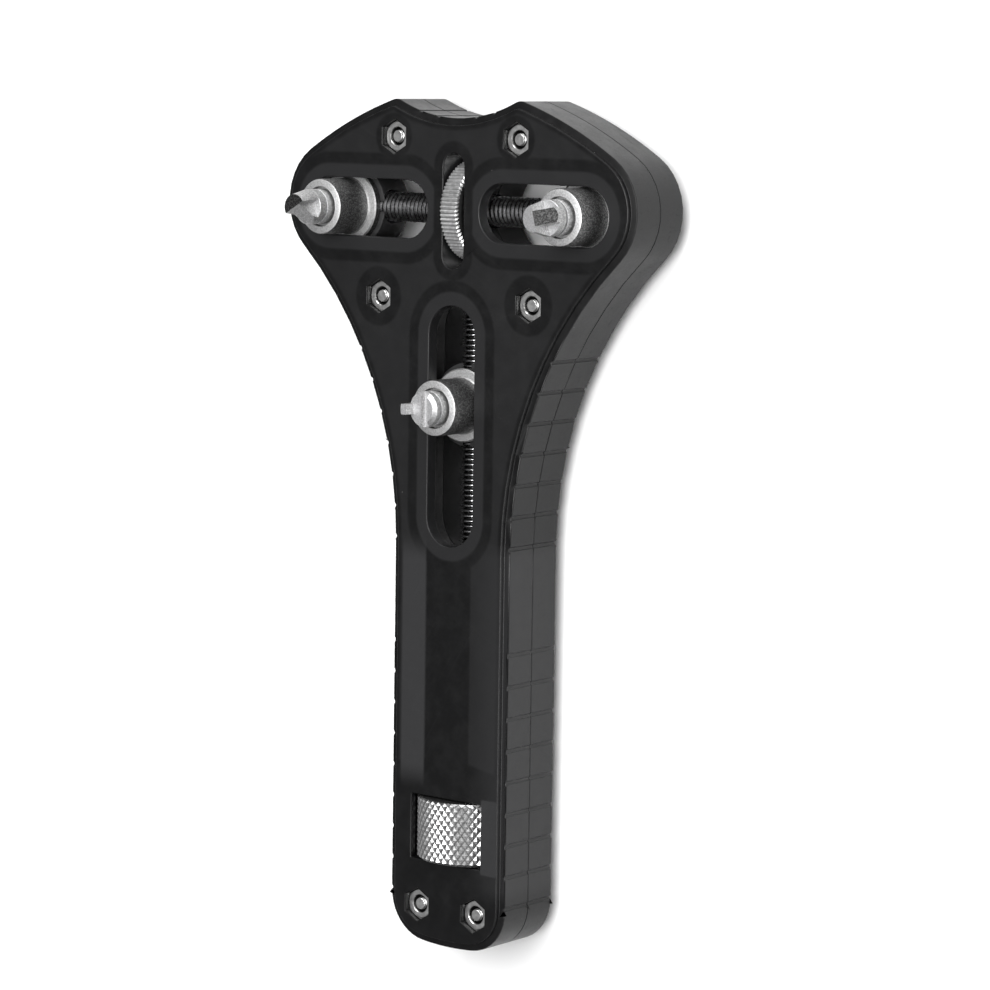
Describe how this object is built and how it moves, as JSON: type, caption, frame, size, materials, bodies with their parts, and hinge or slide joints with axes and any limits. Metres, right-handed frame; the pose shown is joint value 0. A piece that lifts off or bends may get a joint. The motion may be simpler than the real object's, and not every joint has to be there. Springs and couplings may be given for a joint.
{
  "type": "case back opener",
  "caption": "Three-jaw watch case back opener: half shells, a thumbwheel spindle moving two upper jaws, a knurled lead screw moving the lower jaw, and turning bits.",
  "frame": {"origin": "centre of the bounding box in X and Y, at the height of what the tool rests on when it lies on its back", "axes": "+Y runs from the handle's end to the head, +X to the right when looked at from the front, +Z out of the front, the way the bits point"},
  "size_m": [0.086, 0.164, 0.0311],
  "materials": {
    "shell_plastic": "smoked, slightly translucent moulded plastic",
    "shoe_plastic": "moulded black nylon",
    "screw_steel": "zinc-plated",
    "bright_steel": "knurled and plated",
    "plated_steel": "rolled thread, plated",
    "black_steel": "blackened rolled thread",
    "jaw_steel": "turned end faces, blasted sides",
    "bit_steel": "hardened, ground facets",
    "ring_rubber": "moulded O-ring"
  },
  "bodies": {
    "housing": {"front_shell": "shell_plastic", "rear_shell": "shell_plastic", "case_screws": "screw_steel", "case_nuts": "screw_steel"},
    "spindle": {"cross_spindle": "black_steel", "thumbwheel": "bright_steel", "thumbwheel_pin": "screw_steel", "wheel_washers": "screw_steel"},
    "screw": {"lead_screw": "plated_steel", "handle_knob": "bright_steel", "knob_pin": "screw_steel", "knob_washers": "screw_steel"},
    "left_jaw": {"left_jaw_post": "jaw_steel", "left_slide_shoe": "shoe_plastic"},
    "right_jaw": {"right_jaw_post": "jaw_steel", "right_slide_shoe": "shoe_plastic"},
    "lower_jaw": {"lower_jaw_post": "jaw_steel", "lower_slide_shoe": "shoe_plastic"},
    "left_bit_body": {"left_bit": "bit_steel", "left_bit_ring": "ring_rubber"},
    "right_bit_body": {"right_bit": "bit_steel", "right_bit_ring": "ring_rubber"},
    "lower_bit_body": {"lower_bit": "bit_steel", "lower_bit_ring": "ring_rubber"}
  },
  "joints": [
    {"name": "spindle_turn", "type": "hinge", "parent": "housing", "child": "spindle", "pos_m": [0, 0.061, 0.0107], "axis": [1, 0, 0], "range_deg": [-720, 6300]},
    {"name": "left_jaw_slide", "type": "slide", "parent": "housing", "child": "left_jaw", "axis": [1, 0, 0], "range_m": [-0.0021, 0.0176]},
    {"name": "right_jaw_slide", "type": "slide", "parent": "housing", "child": "right_jaw", "axis": [1, 0, 0], "range_m": [-0.0176, 0.0021]},
    {"name": "screw_turn", "type": "hinge", "parent": "housing", "child": "screw", "pos_m": [0, -0.0589, 0.0107], "axis": [0, 1, 0], "range_deg": [-4896, 7740]},
    {"name": "lower_jaw_slide", "type": "slide", "parent": "housing", "child": "lower_jaw", "axis": [0, 1, 0], "range_m": [-0.0216, 0.0137]},
    {"name": "left_bit_turn", "type": "hinge", "parent": "left_jaw", "child": "left_bit_body", "pos_m": [-0.0295, 0.061, 0.0187], "axis": [0, 0, 1], "continuous": true},
    {"name": "right_bit_turn", "type": "hinge", "parent": "right_jaw", "child": "right_bit_body", "pos_m": [0.0295, 0.061, 0.0187], "axis": [0, 0, 1], "continuous": true},
    {"name": "lower_bit_turn", "type": "hinge", "parent": "lower_jaw", "child": "lower_bit_body", "pos_m": [0, 0.0238, 0.0187], "axis": [0, 0, 1], "continuous": true}
  ],
  "couplings": [
    {"joint": "left_jaw_slide", "follows": "spindle_turn", "m_per_rad": 0.00015915},
    {"joint": "right_jaw_slide", "follows": "spindle_turn", "m_per_rad": -0.00015915},
    {"joint": "lower_jaw_slide", "follows": "screw_turn", "m_per_rad": -0.00015915}
  ]
}
